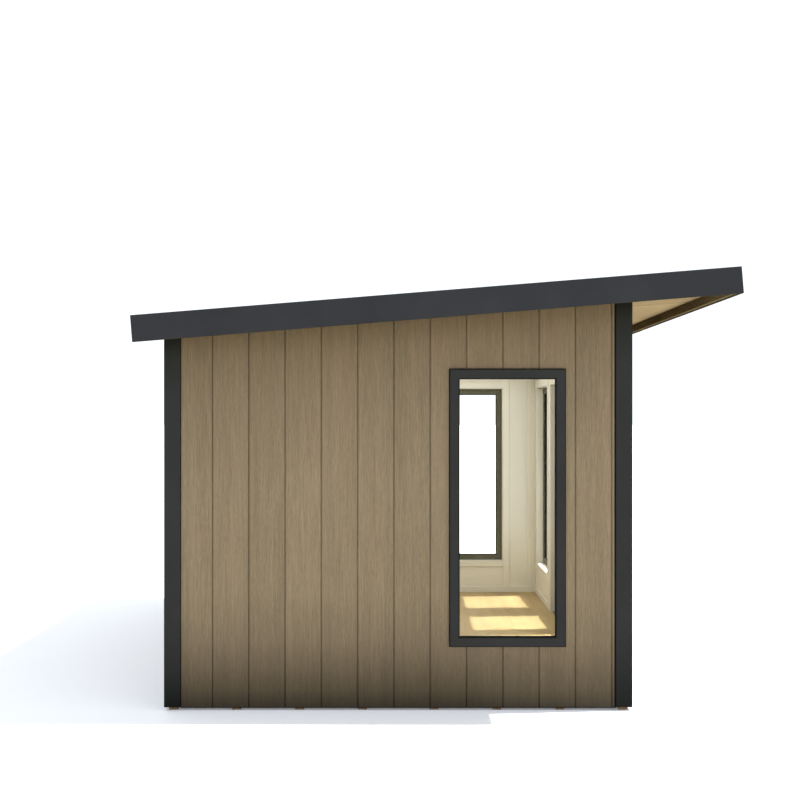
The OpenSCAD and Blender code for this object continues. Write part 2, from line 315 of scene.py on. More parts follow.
def membrane(name):
    """Single-ply roof sheet with dust lying in broad patches."""
    mat, tree, bsdf = material(name)
    at, _ = coords(tree, (1, 1, 1))
    dust = noise(tree, at, 2.4, 7.0, 0.68)
    weave = noise(tree, at, 300.0, 2.0)
    colour = ramp(tree, dust, [(0.3, (0.040, 0.041, 0.043)), (0.75, (0.060, 0.060, 0.058))])
    tree.links.new(colour, bsdf.inputs["Base Color"])
    tree.links.new(span(tree, dust, 0.62, 0.85), bsdf.inputs["Roughness"])
    bump(tree, bsdf, weave, 0.15, 0.0008)
    return mat


def bare_metal(name, colour, rough, axis):
    """Brushed or drawn metal with fine lines along one axis."""
    mat, tree, bsdf = material(name, Metallic=1.0)
    stretch = [900.0] * 3
    stretch[axis] = 12.0
    at, _ = coords(tree, stretch)
    lines = noise(tree, at, 1.0, 3.0)
    low = tuple(c * 0.85 for c in colour)
    tree.links.new(ramp(tree, lines, [(0.3, low), (0.7, colour)]), bsdf.inputs["Base Color"])
    tree.links.new(span(tree, lines, rough - 0.08, rough + 0.1), bsdf.inputs["Roughness"])
    bump(tree, bsdf, lines, 0.08, 0.0004)
    return mat


def gasket(name):
    """Black rubber with a fine grit."""
    mat, tree, bsdf = material(name, Specular_IOR_Level=0.1)
    at, _ = coords(tree, (1, 1, 1))
    grit = noise(tree, at, 260.0, 3.0)
    tree.links.new(ramp(tree, grit, [(0.3, grey3(0.002)), (0.7, grey3(0.005))]), bsdf.inputs["Base Color"])
    tree.links.new(span(tree, grit, 0.55, 0.75), bsdf.inputs["Roughness"])
    return mat


def clear_glass(name):
    """Window glass that lets lamps through."""
    mat, tree, bsdf = material(name, Base_Color=(0.995, 1.0, 0.998, 1.0), Roughness=0.0, IOR=1.04)
    bsdf.inputs["Transmission Weight"].default_value = 1.0
    out = tree.nodes["Material Output"]
    through = add(tree, "ShaderNodeBsdfTransparent", Color=(0.985, 0.995, 0.99, 1.0)).outputs[0]
    lamp_ray = add(tree, "ShaderNodeLightPath").outputs["Is Shadow Ray"]
    both = add(tree, "ShaderNodeMixShader", i0=lamp_ray, i1=bsdf.outputs[0], i2=through).outputs[0]
    tree.links.new(both, out.inputs["Surface"])
    return mat


# painted shade by height, how a colour darkens near the ground and under the fascia: (height above the
# ground, factor) and (distance below the fascia, factor)
WALL_FOOT_SHADE = [(0.0, (0.19, 0.185, 0.17)), (0.07, (0.26, 0.25, 0.22)), (0.134, (0.39, 0.38, 0.34)),
             (0.294, (0.60, 0.58, 0.55)), (0.45, (0.80, 0.79, 0.78)), (0.75, grey3(1.0))]
WALL_HEAD_SHADE = [(0.0, (0.64, 0.58, 0.45)), (0.15, (0.74, 0.70, 0.63)), (0.45, (0.85, 0.83, 0.81)),
             (1.0, grey3(1.0))]
TRIM_FOOT_SHADE = [(0.0, grey3(0.12)), (0.13, grey3(0.33)), (0.26, grey3(0.60)), (0.6, grey3(1.0))]
TRIM_HEAD_SHADE = [(0.0, (0.30, 0.31, 0.05)), (0.10, (0.64, 0.65, 0.42)), (0.35, grey3(1.0))]

M = {
    # the cladding carries painted shade by height, near the ground and under the roof
    "cladding": wood("cladding_timber",
                     (0.124, 0.091, 0.050), (0.152, 0.112, 0.063), (0.181, 0.135, 0.078), 2,
                     across=150.0, along=5.0, rough=0.75, relief=0.3, variety=0.07, fine=0.15,
                     painted_shade=(WALL_FOOT_SHADE, WALL_HEAD_SHADE)),
    "floor": wood("floor_oak", (0.356, 0.255, 0.116), (0.40, 0.288, 0.132), (0.437, 0.319, 0.149), 0,
                  across=60.0, along=1.4, rough=0.45, relief=0.15, variety=0.05, fine=0.05),
    "soffit": wood("soffit_timber", (0.217, 0.154, 0.074), (0.270, 0.198, 0.102), (0.312, 0.233, 0.127), 1,
                   across=60.0, along=1.5, rough=0.65, relief=0.25, variety=0.12, gloss=0.0),
    "rim": wood("rim_timber", (0.060, 0.044, 0.020), (0.090, 0.067, 0.032), (0.125, 0.094, 0.047), 0,
                gloss=0.0),
    "core": wood("core_timber", (0.026, 0.021, 0.0115), (0.037, 0.030, 0.017), (0.050, 0.040, 0.023), 0,
                 gloss=0.0),
    "bearer": wood("bearer_timber", (0.12, 0.07, 0.03), (0.21, 0.125, 0.055), (0.30, 0.19, 0.09), 0,
                   rough=0.75),
    "panel": wood("panel_board", (0.30, 0.21, 0.11), (0.44, 0.32, 0.17), (0.54, 0.41, 0.24), 0,
                  across=40.0, along=9.0),
    "metal": coated_metal("dark_metal", (0.0176, 0.0180, 0.0190)),
    # frame and trim metal: the same dark coat as dark_metal, tinted olive, painted bounce light from the warm
    # cladding
    "frame": coated_metal("frame_metal", (0.0151, 0.0153, 0.0134)),
    # room-side facing: the frame's dark coat drawn lighter and warmer, painted light from the room's warm
    # bounce
    "inner": coated_metal("inner_frame_metal", (0.112, 0.108, 0.070)),
    # the trims carry painted shade by height, near the ground and olive-dark under the roof
    "trim": coated_metal("trim_metal", (0.0138, 0.0141, 0.0124), painted_shade=(TRIM_FOOT_SHADE, TRIM_HEAD_SHADE)),
    "cream": painted("painted_lining", (0.70, 0.67, 0.575)),
    "membrane": membrane("roof_sheet"),
    "steel": bare_metal("brushed_steel", (0.30, 0.30, 0.295), 0.40, 0),
    "alu": bare_metal("drawn_aluminium", (0.31, 0.32, 0.325), 0.45, 0),
    "gasket": gasket("black_gasket"),
    "glass": clear_glass("clear_glass"),
}


# ---------------------------------------------------------------- meshes
def place_in_scene(name, data):
    obj = bpy.data.objects.new(name, data)
    bpy.context.scene.collection.objects.link(obj)
    return obj


class Shape:
    """Closed solids gathered into one mesh. Each may have its own tone, from 0 to 1, for its colour."""

    def __init__(self):
        self.bm = bmesh.new()
        self.tone = self.bm.verts.layers.float.new("tone")

    def prism(self, ring_a, ring_b, tone=0.5):
        """The solid between two rings of as many points."""
        rings = []
        for ring in (ring_a, ring_b):
            made = [self.bm.verts.new(p) for p in ring]
            for v in made:
                v[self.tone] = tone
            rings.append(made)
        a, b = rings
        self.bm.faces.new(a)
        self.bm.faces.new(list(reversed(b)))
        for i in range(len(a)):
            j = (i + 1) % len(a)
            self.bm.faces.new((a[j], a[i], b[i], b[j]))

    def bar(self, lo, hi, ease=EASE, tone=0.5):
        """A box with its long edges eased: an octagon drawn out along the longest side."""
        size = [hi[i] - lo[i] for i in range(3)]
        k = size.index(max(size))
        p, q = [i for i in range(3) if i != k]
        e = min(ease, size[p] / 3, size[q] / 3)
        rim = [(lo[p] + e, lo[q]), (hi[p] - e, lo[q]), (hi[p], lo[q] + e), (hi[p], hi[q] - e),
               (hi[p] - e, hi[q]), (lo[p] + e, hi[q]), (lo[p], hi[q] - e), (lo[p], lo[q] + e)]
        rings = []
        for at in (lo[k], hi[k]):
            ring = []
            for a, b in rim:
                c = [0.0, 0.0, 0.0]
                c[k], c[p], c[q] = at, a, b
                ring.append(c)
            rings.append(ring)
        self.prism(rings[0], rings[1], tone)

    def tube(self, centre, axis, length, radius, sides=20, tone=0.5):
        """A round bar from centre along an axis (0, 1 or 2)."""
        p, q = [i for i in range(3) if i != axis]
        rings = []
        for run in (0.0, length):
            ring = []
            for k in range(sides):
                turn = 2 * math.pi * k / sides
                c = list(centre)
                c[axis] += run
                c[p] += radius * math.cos(turn)
                c[q] += radius * math.sin(turn)
                ring.append(c)
            rings.append(ring)
        self.prism(rings[0], rings[1], tone)

    def hoop(self, loops, tone=0.5):
        """A closed frame from a list of rectangles, each a ring of four corners."""
        made = []
        for ring in loops:
            row = [self.bm.verts.new(p) for p in ring]
            for v in row:
                v[self.tone] = tone
            made.append(row)
        for i, row in enumerate(made):
            nxt = made[(i + 1) % len(made)]
            for j in range(len(row)):
                k = (j + 1) % len(row)
                self.bm.faces.new((row[j], row[k], nxt[k], nxt[j]))

    def piece(self, name, mat, slot, *replaced):
        """Makes the object, which rides with the building and stands in for the CAD nodes replaced."""
        bmesh.ops.recalc_face_normals(self.bm, faces=self.bm.faces)
        mesh = bpy.data.meshes.new(name)
        self.bm.to_mesh(mesh)
        self.bm.free()
        obj = place_in_scene(name, mesh)
        mesh.materials.append(mat)
        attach(obj, "root")
        if replaced:
            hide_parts(*replaced)
        return obj


def one_tone_each(mesh):
    """Gives all of a board the board's own tone, which a cut leaves off the corners that it makes."""
    bm = bmesh.new()
    bm.from_mesh(mesh)
    layer = bm.verts.layers.float["tone"]
    seen = set()
    for start in bm.verts:
        if start in seen:
            continue
        seen.add(start)
        board = [start]
        for v in board:
            for e in v.link_edges:
                other = e.other_vert(v)
                if other not in seen:
                    seen.add(other)
                    board.append(other)
        tone = max(v[layer] for v in board)
        for v in board:
            v[layer] = tone
    bm.to_mesh(mesh)
    bm.free()


def cut_holes(obj, holes):
    """Cuts boxes out of a piece and applies the cuts."""
    for lo, hi in holes:
        s = Shape()
        ring = [(lo.x, lo.y), (hi.x, lo.y), (hi.x, hi.y), (lo.x, hi.y)]
        s.prism([(x, y, lo.z) for x, y in ring], [(x, y, hi.z) for x, y in ring])
        bmesh.ops.recalc_face_normals(s.bm, faces=s.bm.faces)
        mesh = bpy.data.meshes.new("cutter")
        s.bm.to_mesh(mesh)
        s.bm.free()
        cutter = place_in_scene("cutter", mesh)
        mod = obj.modifiers.new("cut", "BOOLEAN")
        mod.operation, mod.solver, mod.object = "DIFFERENCE", "EXACT", cutter
        bpy.context.view_layer.update()
        dg = bpy.context.evaluated_depsgraph_get()
        cut = bpy.data.meshes.new_from_object(
            obj.evaluated_get(dg), preserve_all_data_layers=True, depsgraph=dg)
        obj.modifiers.clear()
        old = obj.data
        obj.data = cut
        bpy.data.meshes.remove(old)
        bpy.data.objects.remove(cutter)
        bpy.data.meshes.remove(mesh)
    one_tone_each(obj.data)


def eased(node, mat, width=EASE, tone=0.5):
    """A copy of a CAD node with small chamfers on its edges, shown in its place."""
    bm = bmesh.new()
    bm.from_mesh(nodes[node].data)
    bmesh.ops.remove_doubles(bm, verts=bm.verts, dist=1e-5)
    bmesh.ops.dissolve_limit(bm, angle_limit=0.01, verts=bm.verts, edges=bm.edges)
    sharp = [e for e in bm.edges if len(e.link_faces) == 2 and e.calc_face_angle(0) > 0.5]
    bmesh.ops.bevel(bm, geom=sharp, offset=width, segments=2, profile=0.6, affect="EDGES", clamp_overlap=True)
    layer = bm.verts.layers.float.new("tone")
    for v in bm.verts:
        v[layer] = tone
    mesh = bpy.data.meshes.new(node + "_eased")
    bm.to_mesh(mesh)
    bm.free()
    obj = place_in_scene(node + "_eased", mesh)
    mesh.materials.append(mat)
    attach(obj, "root")
    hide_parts(node)
    return obj


def dress(node, mat):
    """Gives a CAD node one of the materials."""
    nodes[node].data.materials.clear()
    nodes[node].data.materials.append(M[mat])


def grown(node, by):
    """A CAD node's box, larger on all sides."""
    lo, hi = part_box(node)
    return lo - Vector(by), hi + Vector(by)


def joints(lo, hi, first, pitch):
    """Ends of the boards in a run from lo to hi whose first joint lies at first."""
    marks = [lo]
    at = first
    while at < hi - CHIP:
        if at > lo + CHIP:
            marks.append(at)
        at += pitch
    marks.append(hi)
    return list(zip(marks, marks[1:]))


# ---------------------------------------------------------------- cladding
def clad(wall, side_wall, inward, first):
    """Upright boards on one wall. inward is the direction of the wall's depth along X or Y."""
    node = wall + "_cladding"
    lo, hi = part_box(node)
    depth = (hi.x - lo.x) if side_wall else (hi.y - lo.y)
    run = (lo.y, hi.y) if side_wall else (lo.x, hi.x)
    face = (lo.x if inward > 0 else hi.x) if side_wall else (lo.y if inward > 0 else hi.y)
    half, c = BOARD_GAP / 2, BOARD_CHAMFER
    gap_start = TRIM_GAP if side_wall else TRIM_FIT
    boards, shade_strips = Shape(), Shape()

    def upright(shape, plan, tone=0.5):
        """A piece whose plan lists its (place along the wall, depth). Its top follows the roof."""
        low, high = [], []
        for u, d in plan:
            x, y = (face + inward * d, u) if side_wall else (u, face + inward * d)
            low.append((x, y, lo.z))
            high.append((x, y, hi.z - (y - lo.y) * FALL))
        shape.prism(low, high, tone)

    for a, b in joints(*run, first, BOARD_PITCH):
        at_start, at_end = a == run[0], b == run[1]
        left = a + (gap_start if at_start else half)
        right = b - (TRIM_FIT if at_end else half)
        plan = [(left + c, 0), (right - c, 0), (right, c)]
        if not at_end:
            plan += [(right, TONGUE_IN), (b + half - TONGUE_GAP, TONGUE_IN)]
        plan += [(plan[-1][0], depth), (left, depth), (left, c)]
        upright(boards, plan, rng.random())
    # black strips in the gaps beside the trims: painted shade, in place of the shadow lines there
    back = depth - BACK_CLEAR
    for a, b in ((run[0], run[0] + gap_start), (run[1] - TRIM_FIT, run[1])):
        a, b = a + SHADE_STRIP_CLEAR, b - SHADE_STRIP_CLEAR
        upright(shade_strips, [(a, SHADE_STRIP_IN), (b, SHADE_STRIP_IN), (b, back), (a, back)])
    shade_strips.piece(wall + "_cladding_shade_strips", M["gasket"], METAL)
    return boards.piece(wall + "_boards", M["cladding"], "cladding_timber", node)


def wall_holes(names, side_wall):
    """Boxes a little larger than the frames, and longer than the wall is deep."""
    past_x, past_y = (CUT_PAST, 0.0) if side_wall else (0.0, CUT_PAST)
    return [grown(n, (HOLE_GAP + past_x, HOLE_GAP + past_y, HOLE_GAP)) for n in names]


side_lo, side_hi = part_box("left_cladding")
first_side = side_hi.y - FIRST_JOINT
while first_side - BOARD_PITCH > side_lo.y:
    first_side -= BOARD_PITCH
left_boards = clad("left", True, 1, first_side)
right_boards = clad("right", True, -1, first_side)
front_lo, front_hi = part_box("front_cladding")
front_first = front_lo.x + 0.5 * ((front_hi.x - front_lo.x) % BOARD_PITCH + BOARD_PITCH)
clad("rear", False, -1, front_first)
front_boards = clad("front", False, 1, front_first)
cut_holes(left_boards, wall_holes(["left_window_frame"], True))
cut_holes(right_boards, wall_holes(["right_window_frame"], True))
cut_holes(front_boards, wall_holes(
    ["front_left_window_frame", "front_right_window_frame", "door_frame", "door_sill"], False))


def foot_shade_strips():
    """Painted shade: dark strips that close the gap under the cladding, standing in for the shadow in that
    gap.
    """
    s = Shape()
    for wall in ("left", "right", "front", "rear"):
        lo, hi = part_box(wall + "_cladding")
        inset = Vector((0.002, 0, 0)) if wall in ("left", "right") else Vector((0, 0.002, 0))
        a, b = lo + inset, hi - inset
        s.bar((a.x, a.y, lo.z - FOOT_H), (b.x, b.y, lo.z - 0.0003), 0.001)
    s.piece("foot_shade_strips", M["gasket"], METAL)


foot_shade_strips()

# ---------------------------------------------------------------- trims, fascias, roof
for corner in ("front_left", "front_right", "rear_left", "rear_right"):
    eased(corner + "_corner_trim", M["trim"], 0.002)
eased("rim_boards", M["rim"], 0.002)
eased("ground_bearers", M["bearer"], 0.002)
eased("door_sill", M["alu"], 0.002)
for name in ("left_wall", "right_wall", "rear_wall", "front_wall", "floor_panels", "roof_panel"):
    dress(name, "panel")
for name in ("left_lining", "right_lining", "rear_lining", "front_lining"):
    dress(name, "cream")


def fascia(side):
    """Folded metal over a timber core. Its profile runs from the outer face over the top to the roof."""
    lo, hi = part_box(side + "_fascia")
    u0, u1, w0, w1 = slope_box(side + "_fascia")
    sheet_top = slope_box("roof_membrane")[3]
    across = side in ("left", "right")
    thick = hi.x - lo.x if across else u1 - u0
    c, k = SKIN_FOLD, SKIN_T
    skin = [(0.0, w0), (0.0, w1 - c), (c, w1), (thick - c, w1), (thick, w1 - c), (thick, sheet_top + 0.001),
            (thick - k, sheet_top + 0.001), (thick - k, w1 - k), (k, w1 - k), (k, w0)]
    core = [(k, w0 + 0.0005), (k, w1 - k), (thick - k, w1 - k), (thick - k, w0 + 0.0005)]
    for kind, profile, mat, slot, replaced in (
            ("skin", skin, "metal", METAL, [side + "_fascia"]), ("core", core, "core", TIMBER, [])):
        s = Shape()
        if across:
            out, step = (lo.x, 1) if side == "left" else (hi.x, -1)
            down_slope(s, [(out + step * t, w) for t, w in profile], u0 + k, u1 - k, rng.random())
            if kind == "skin":   # plates that close its ends
                inner = out + step * thick
                for a, b in ((u0, u0 + k), (u1 - k, u1)):
                    down_slope(s, [(out, w0), (inner, w0), (inner, w1), (out, w1)], a, b)
        else:
            out, step = (u0, 1) if side == "front" else (u1, -1)
            across_slope(s, [(out + step * t, w) for t, w in profile], lo.x, hi.x, rng.random())
        s.piece(side + "_fascia_" + kind, M[mat], slot, *replaced)


for side in ("front", "rear", "left", "right"):
    fascia(side)


def roof_sheet():
    """Membrane in strips that lap at seams running down the slope."""
    lo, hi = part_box("roof_membrane")
    u0, u1, w0, w1 = slope_box("roof_membrane")
    s = Shape()
    step = (hi.x - lo.x) / SHEET_STRIPS
    for i in range(SHEET_STRIPS):
        a = lo.x + i * step
        b = a + step
        down_slope(s, [(a, w0), (b, w0), (b, w1), (a, w1)], u0, u1, rng.random())
        if i:
            left, right, top = a - LAP_W / 2, a + LAP_W / 2, w1 + LAP_RISE
            lap = [(left, w1), (right, w1), (right - LAP_EASE, top), (left + LAP_EASE, top)]
            down_slope(s, lap, u0, u1, rng.random())
    s.piece("roof_sheet", M["membrane"], "roof_rubber", "roof_membrane")


roof_sheet()


def soffit_boards(name, node):
    """Boards with chamfered joints, running front to back under an overhang."""
    lo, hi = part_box(node)
    corners = sorted({(round(v.co.y, 5), round(v.co.z, 5)) for v in nodes[node].data.vertices})
    mid_y = (lo.y + hi.y) / 2
    ends = []   # lowest and highest corner at the front, then at the rear
    for end in ([p for p in corners if p[0] < mid_y], [p for p in corners if p[0] >= mid_y]):
        end.sort(key=lambda p: p[1])
        ends.append((end[0], end[-1]))
    c = SOFFIT_CHAMFER
    s = Shape()
    count = max(1, round((hi.x - lo.x) / SOFFIT_PITCH))
    step = (hi.x - lo.x) / count
    for i in range(count):
        a, b = lo.x + i * step + SOFFIT_JOINT, lo.x + (i + 1) * step - SOFFIT_JOINT
        rings = []
        for low, high in ends:
            t_c = c / math.dist(low, high)
            rings.append([(x, low[0] + (high[0] - low[0]) * t, low[1] + (high[1] - low[1]) * t)
                          for x, t in ((a, t_c), (a + c, 0), (b - c, 0), (b, t_c), (b, 1), (a, 1))])
        s.prism(rings[0], rings[1], rng.random())
    s.piece(name, M["soffit"], "soffit_timber", node)


soffit_boards("front_soffit_boards", "front_soffit")
soffit_boards("rear_soffit_boards", "rear_soffit")
eased("side_soffits", M["soffit"], 0.002)
eased("ceiling", M["cream"], 0.001)


def vent_strip():
    """Slotted strip between the rear soffit and the rear fascia, under the roof panel."""
    lo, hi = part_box("rear_soffit")
    u0, u1 = slope_box("rear_soffit")[1], slope_box("rear_fascia")[0]
    w1 = slope_box("roof_panel")[2] - 0.0005
    w0 = w1 - VENT_T
    bars = [(lo.x, hi.x, u0 + 0.001, u0 + VENT_RAIL), (lo.x, hi.x, u1 - VENT_RAIL, u1 - 0.001)]
    for i in range(int((hi.x - lo.x) / SLAT_PITCH)):
        x = lo.x + i * SLAT_PITCH
        bars.append((x, x + SLAT_W, u0 + VENT_RAIL, u1 - VENT_RAIL))
    s = Shape()
    for x0, x1, a, b in bars:
        across_slope(s, [(a, w0), (b, w0), (b, w1), (a, w1)], x0, x1)
    s.piece("rear_vent_strip", M["metal"], METAL)


def rear_edge_caps():
    """Metal that covers the rear ends of the soffit and of the side rim boards."""
    lo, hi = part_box("rear_soffit")
    panel_lo, panel_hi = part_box("roof_panel")
    _, edge_u, edge_w0, edge_w1 = slope_box("rear_soffit")
    _, rim_u, rim_w0, _ = slope_box("rim_boards")
    s = Shape()
    for x0, x1, a, b, low in ((lo.x, hi.x, edge_u + 0.0001, edge_u + 0.0009, edge_w0),
                              (panel_lo.x, lo.x, rim_u + 0.0003, rim_u + 0.002, rim_w0),
                              (hi.x, panel_hi.x, rim_u + 0.0003, rim_u + 0.002, rim_w0)):
        across_slope(s, [(a, low), (b, low), (b, edge_w1), (a, edge_w1)], x0, x1)
    s.piece("rear_edge_caps", M["metal"], METAL)


vent_strip()
rear_edge_caps()


# ---------------------------------------------------------------- windows and doors
def frame_hoop(s, place, u0, u1, z0, z1, outline):
    """A mitred frame. outline is a closed list of (inset, depth)."""
    loops = []
    for inset, d in outline:
        left, right, low, high = u0 + inset, u1 - inset, z0 + inset, z1 - inset
        loops.append([place(u, d, z) for u, z in ((left, low), (right, low), (right, high), (left, high))])
    s.hoop(loops)


def glazed(name, pane_node, place, u0, u1, z0, z1, sight, lip, d_glass, t_glass):
    """Two sheets of glass with a spacer bar between them, and the gaskets that hold them.

    sight is where the clear glass starts, and lip the depth at which the outer gasket starts.
    """
    panes, bar, shade_seal = Shape(), Shape(), Shape()
    ring = [(u0, z0), (u1, z0), (u1, z1), (u0, z1)]
    inside = d_glass + t_glass - PANE_T
    for d in (d_glass, inside):
        panes.prism([place(u, d, z) for u, z in ring], [place(u, d + PANE_T, z) for u, z in ring])
    panes.piece(name + "_panes", M["glass"], "glazing", pane_node)
    over = sight - u0
    outside = d_glass + PANE_T
    frame_hoop(bar, place, u0, u1, z0, z1, [
        (0.001, outside), (over + 0.001, outside), (over + 0.001, inside), (0.001, inside)])
    bar.piece(name + "_spacer", M["gasket"], METAL)
    near, far = d_glass - 0.0005, d_glass + t_glass + 0.0005
    start, thin = over - GASKET_W + 0.0001, over - GASKET_W / 2
    # the outer gasket holds the pane and runs from the lip back to the glass over the sides of the lips: real
    # gasket, and painted shade on those sides; the inner one holds the pane from the room side
    for outline in ([(start, lip), (over - 0.001, lip), (over, lip + 0.001), (over, near), (start, near)],
                    [(start, far), (thin, far), (thin, far + 0.003), (start, far + 0.004)]):
        frame_hoop(shade_seal, place, u0, u1, z0, z1, outline)
    shade_seal.piece(name + "_gaskets", M["gasket"], METAL)


def window(name, side_wall, inward):
    """A frame with its outer black strip of painted shade and its facing on the room side, the glazing, and
    the reveal.
    """
    lo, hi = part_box(name + "_frame")
    glo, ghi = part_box(name + "_glass")
    if side_wall:
        u0, u1, g0, g1 = lo.y, hi.y, glo.y, ghi.y
        face = lo.x if inward > 0 else hi.x
        depth, d_glass = hi.x - lo.x, (glo.x - lo.x if inward > 0 else hi.x - ghi.x)
        t_glass = ghi.x - glo.x
    else:
        u0, u1, g0, g1 = lo.x, hi.x, glo.x, ghi.x
        face = lo.y
        depth, d_glass = hi.y - lo.y, glo.y - lo.y
        t_glass = ghi.y - glo.y

    def place(u, d, z):
        return (face + inward * d, u, z) if side_wall else (u, face + inward * d, z)

    r, rebate, edge = EASE, g0 - u0 - 0.001, FRAME_SHADE_LINE
    f = FRAME_FACE - GASKET_W
    back = depth - FACING_T
    wrap, lip_front, lip_back = f - WRAP_T, d_glass - LIP_GAP, d_glass + t_glass + LIP_GAP
    profile = [
        (0, back), (0, FRAME_STEP), (edge, FRAME_STEP), (edge, r), (edge + r * 0.3, r * 0.3), (edge + r, 0),
        (f - 0.004, 0), (f - 0.0012, 0.0012), (f, 0.004), (f, lip_front), (rebate, lip_front),
        (rebate, lip_back), (wrap, lip_back), (wrap, back)]
    # black strip in the frame's outer step: painted shade for the shadow line round the frame
    shade_seal = [(0.0005, FRAME_STEP - 0.0002), (0.0005, 0.008), (edge - 0.0005, 0.006),
            (edge - 0.0005, FRAME_STEP - 0.0002)]
    facing = [(0.007, back + 0.0001), (wrap + 0.0001, back + 0.0001), (wrap + 0.0001, lip_back),
              (f, lip_back), (f, depth - 0.0005), (f - 0.0005, depth), (0.007, depth)]
    for kind, outline, mat, replaced in (("profile", profile, "frame", [name + "_frame"]),
                                         ("shade_seal", shade_seal, "gasket", []), ("facing", facing, "inner", [])):
        s = Shape()
        frame_hoop(s, place, u0, u1, lo.z, hi.z, outline)
        s.piece(name + "_frame_" + kind, M[mat], METAL, *replaced)
    glazed(name, name + "_glass", place, g0, g1, glo.z, ghi.z, u0 + FRAME_FACE, GASKET_LIP, d_glass, t_glass)
    eased(name + "_reveal", M["cream"], 0.001)


for name, side_wall, inward in (("left_window", True, 1), ("right_window", True, -1),
                                ("front_left_window", False, 1), ("front_right_window", False, 1)):
    window(name, side_wall, inward)


def door(side):
    """One leaf with its pane, bead, hinges, handle, lock and weather bar."""
    leaf, pane, handle = side + "_door_leaf", side + "_door_glass", side + "_door_handle"
    eased(leaf, M["frame"])
    lo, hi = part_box(leaf)
    glo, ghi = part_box(pane)
    d_glass, t_glass, bead_in = glo.y - lo.y, ghi.y - glo.y, 0.010

    def place(u, d, z):
        return (u, lo.y + d, z)

    glazed(side + "_door", pane, place, glo.x, ghi.x, glo.z, ghi.z, glo.x + bead_in, d_glass - 0.0045,
           d_glass, t_glass)
    bead = Shape()
    frame_hoop(bead, place, glo.x + bead_in, ghi.x - bead_in, glo.z + bead_in, ghi.z - bead_in, [
        (-0.004, -0.002), (-0.001, -0.004), (0.010, -0.001), (0.012, 0.004), (0.0, 0.004), (-0.004, 0.0015)])
    bead.piece(side + "_door_bead", M["frame"], METAL)
    # hinges of three knuckles on the outer stile
    outer = hi.x if side == "right" else lo.x
    hinges = Shape()
    for z in (lo.z + HINGE_IN, (lo.z + hi.z) / 2, hi.z - HINGE_IN):
        for i in range(3):
            low = z - 0.05 + i * KNUCKLE_PITCH
            hinges.tube((outer, lo.y - 0.006, low), 2, KNUCKLE_L, KNUCKLE_R, 16)
    hinges.piece(side + "_door_hinges", M["steel"], FITTINGS)
    dress(handle, "steel")
    # lock cylinder with its key slot, and the screws of the outer plate
    hlo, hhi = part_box(handle)
    x = hi.x - DOOR_STILE / 2 if side == "left" else lo.x + DOOR_STILE / 2
    y, lock_z = lo.y - PLATE_T, (hlo.z + hhi.z) / 2 - LOCK_DOWN
    fittings = Shape()
    fittings.tube((x, y - 0.003, lock_z), 1, 0.003, 0.009)
    fittings.bar((x - 0.0015, y - 0.0045, lock_z - 0.015), (x + 0.0015, y - 0.003, lock_z + 0.005), 0.0004)
    for z in (hlo.z + SCREW_IN, hhi.z - SCREW_IN):
        fittings.tube((x, y - 0.0012, z), 1, 0.0012, 0.0042)
    fittings.piece(side + "_lock_and_screws", M["alu"], FITTINGS)
    # bar that throws the rain clear of the sill
    bar = Shape()
    outline = [(0.0, 0.008), (0.016, 0.008), (0.016, 0.013), (0.0, 0.036)]
    bar.prism(*[[(x, lo.y - out, lo.z + up) for out, up in outline] for x in (lo.x + 0.012, hi.x - 0.012)])
    bar.piece(side + "_weather_bar", M["metal"], METAL)


def meeting_strips():
    """Cover strips over the joint between the leaves, outside and inside."""
    lo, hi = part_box("right_door_leaf")
    x0, x1, top = lo.x - 0.018, lo.x + 0.014, hi.z - 0.002
    s = Shape()
    s.bar((x0, lo.y - 0.006, lo.z + 0.05), (x1, lo.y - 0.0002, top), 0.003)
    s.bar((x0, hi.y + 0.0002, lo.z + 0.004), (x1, hi.y + 0.006, top), 0.003)
    s.piece("meeting_strips", M["frame"], METAL)


door("left")
door("right")
meeting_strips()
eased("door_frame", M["frame"])
eased("door_reveal", M["cream"], 0.001)


# ---------------------------------------------------------------- inside
def planks():
    """Floor boards with staggered end joints."""
    lo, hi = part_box("floor_boards")
    s = Shape()
    rows = round((hi.y - lo.y) / FLOOR_PITCH)
    width = (hi.y - lo.y) / rows
    c, half = FLOOR_CHAMFER, FLOOR_JOINT
    for r in range(rows):
        a, b = lo.y + r * width + half, lo.y + (r + 1) * width - half
        x = lo.x - rng.uniform(0.0, 1.4)
        while x < hi.x:
            nxt = x + rng.uniform(1.5, 2.1)
            x0, x1 = max(x, lo.x) + half, min(nxt, hi.x) - half
            if x1 - x0 > 0.01:
                ring = [(a, lo.z), (b, lo.z), (b, hi.z - c), (b - c, hi.z), (a + c, hi.z), (a, hi.z - c)]
                s.prism([(x0, y, z) for y, z in ring], [(x1, y, z) for y, z in ring], rng.random())
            x = nxt
    s.piece("floor_planks", M["floor"], "floor_timber", "floor_boards")


planks()


